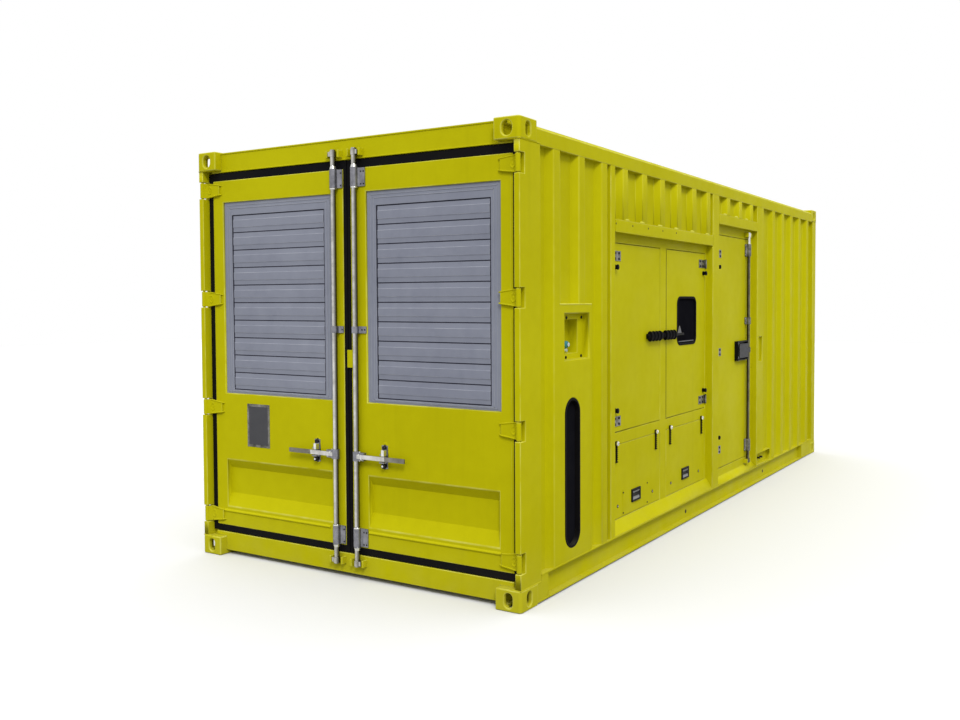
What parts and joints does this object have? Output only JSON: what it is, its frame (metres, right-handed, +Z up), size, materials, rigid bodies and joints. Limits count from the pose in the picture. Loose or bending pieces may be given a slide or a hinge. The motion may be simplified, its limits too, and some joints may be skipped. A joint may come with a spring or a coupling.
{
  "type": "containerised generator set",
  "caption": "Steel 20 ft container housing a generator set, with louvred end doors, side service doors, hatches and a personnel door.",
  "frame": {"origin": "centre of the footprint, on the ground", "axes": "+Z up, +Y along the length towards the blind end (the louvred doors face -Y), +X towards the service side"},
  "size_m": [2.438, 6.058, 2.591],
  "materials": {
    "yellow_paint": "gloss yellow two-pack paint",
    "grey_paint": "satin grey paint",
    "floor_paint": "dull dark floor paint",
    "zinc_plate": "zinc plated, dull",
    "stainless": "brushed stainless",
    "black_rubber": "moulded black rubber",
    "control_plastic": "moulded"
  },
  "bodies": {
    "enclosure": {"corner_castings": "yellow_paint", "corner_posts": "yellow_paint", "end_rails": "yellow_paint", "bottom_side_rails": "yellow_paint", "top_side_rails": "yellow_paint", "floor_plate": "floor_paint", "cross_members": "yellow_paint", "roof": "yellow_paint", "blind_side_wall": "yellow_paint", "blind_end_wall": "yellow_paint", "side_posts": "yellow_paint", "side_lintels": "yellow_paint", "front_side_panel": "yellow_paint", "panels_over_doors": "yellow_paint", "rear_side_panel": "yellow_paint", "service_frame": "yellow_paint", "personnel_frame": "yellow_paint", "cam_keepers": "yellow_paint", "side_hinge_bases": "stainless", "hatch_panels": "yellow_paint", "hatch_latches": "black_rubber", "hatch_pulls": "black_rubber", "niche_box": "yellow_paint", "niche_controls": "control_plastic", "slot_window": "black_rubber", "earth_box": "yellow_paint"},
    "left_end_door": {"left_door": "yellow_paint", "left_louvre": "grey_paint", "left_seal": "black_rubber", "left_hinge_blades": "yellow_paint", "left_bar_brackets": "zinc_plate"},
    "left_end_bar": {"left_lock_bar": "zinc_plate"},
    "right_end_door": {"right_door": "yellow_paint", "right_louvre": "grey_paint", "right_seal": "black_rubber", "right_hinge_blades": "yellow_paint", "right_bar_brackets": "zinc_plate"},
    "right_end_bar": {"right_lock_bar": "zinc_plate"},
    "left_service": {"left_service_door": "yellow_paint", "left_service_hinges": "stainless", "left_service_handle": "black_rubber"},
    "right_service": {"right_service_door": "yellow_paint", "right_service_hinges": "stainless", "right_service_handle": "black_rubber", "vision_window": "black_rubber"},
    "personnel": {"personnel_door": "yellow_paint", "personnel_hinges": "stainless", "personnel_buffers": "black_rubber", "personnel_bar_brackets": "zinc_plate", "personnel_lock_case": "black_rubber"},
    "personnel_bar": {"personnel_lock_bar": "zinc_plate"}
  },
  "joints": [
    {"name": "right_end_door_swing", "type": "hinge", "parent": "enclosure", "child": "right_end_door", "pos_m": [1.197, -3.01, 1.3], "axis": [0, 0, 1], "range_deg": [0, 265]},
    {"name": "left_end_door_swing", "type": "hinge", "parent": "enclosure", "child": "left_end_door", "pos_m": [-1.197, -3.01, 1.3], "axis": [0, 0, -1], "range_deg": [0, 265]},
    {"name": "right_end_bar_turn", "type": "hinge", "parent": "right_end_door", "child": "right_end_bar", "pos_m": [0.08, -3.003, 1.3], "axis": [0, 0, 1], "range_deg": [-95, 0]},
    {"name": "left_end_bar_turn", "type": "hinge", "parent": "left_end_door", "child": "left_end_bar", "pos_m": [-0.08, -3.003, 1.3], "axis": [0, 0, -1], "range_deg": [-95, 0]},
    {"name": "left_service_swing", "type": "hinge", "parent": "enclosure", "child": "left_service", "pos_m": [1.173, -1.8515, 1.4], "axis": [0, 0, 1], "range_deg": [-105, 0]},
    {"name": "right_service_swing", "type": "hinge", "parent": "enclosure", "child": "right_service", "pos_m": [1.173, -0.1945, 1.4], "axis": [0, 0, -1], "range_deg": [-105, 0]},
    {"name": "personnel_swing", "type": "hinge", "parent": "enclosure", "child": "personnel", "pos_m": [1.173, 0.0415, 1.2], "axis": [0, 0, -1], "range_deg": [0, 105]},
    {"name": "personnel_bar_turn", "type": "hinge", "parent": "personnel", "child": "personnel_bar", "pos_m": [1.19, 0.815, 1.2], "axis": [0, 0, -1], "range_deg": [-95, 0]}
  ]
}
